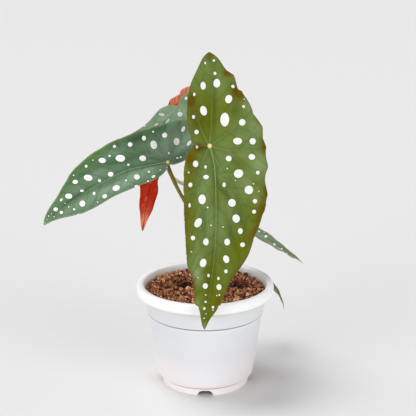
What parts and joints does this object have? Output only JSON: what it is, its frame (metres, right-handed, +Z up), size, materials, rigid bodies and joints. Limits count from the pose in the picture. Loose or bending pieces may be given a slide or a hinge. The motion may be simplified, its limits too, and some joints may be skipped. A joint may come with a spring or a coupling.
{
  "type": "potted polka dot begonia",
  "caption": "Cane begonia with white-dotted angel-wing leaves, red underneath, growing in brown coco chips in a white nursery pot with a rolled rim.",
  "frame": {"origin": "middle of the underside of the plant's bounding box; the pot's axis stands at x = 24.1 mm, y = -5.8 mm", "axes": "+Z up, -Y towards the viewer that the front leaf faces, +X to that viewer's right"},
  "size_m": [0.2244, 0.161, 0.2988],
  "materials": {
    "pot": "satin",
    "soil": "matte",
    "cane": "satin",
    "leaf_front": "satin",
    "leaf_left": "satin",
    "leaf_upper": "satin",
    "leaf_red": "satin",
    "leaf_right": "satin",
    "leaf_rear": "satin",
    "petiole": "satin",
    "stipule": "matte",
    "shoot": "satin"
  },
  "bodies": {
    "root": {"pot": "pot", "soil": "soil", "cane": "cane", "leaf_front": "leaf_front", "leaf_left": "leaf_left", "leaf_upper": "leaf_upper", "leaf_red": "leaf_red", "leaf_right": "leaf_right", "leaf_rear": "leaf_rear", "petiole_front": "petiole", "petiole_left": "petiole", "petiole_upper": "petiole", "petiole_red": "petiole", "petiole_right": "petiole", "petiole_rear": "petiole", "stipule_low": "stipule", "stipule_middle": "stipule", "stipule_high": "stipule", "shoot_tip": "shoot"}
  },
  "joints": []
}
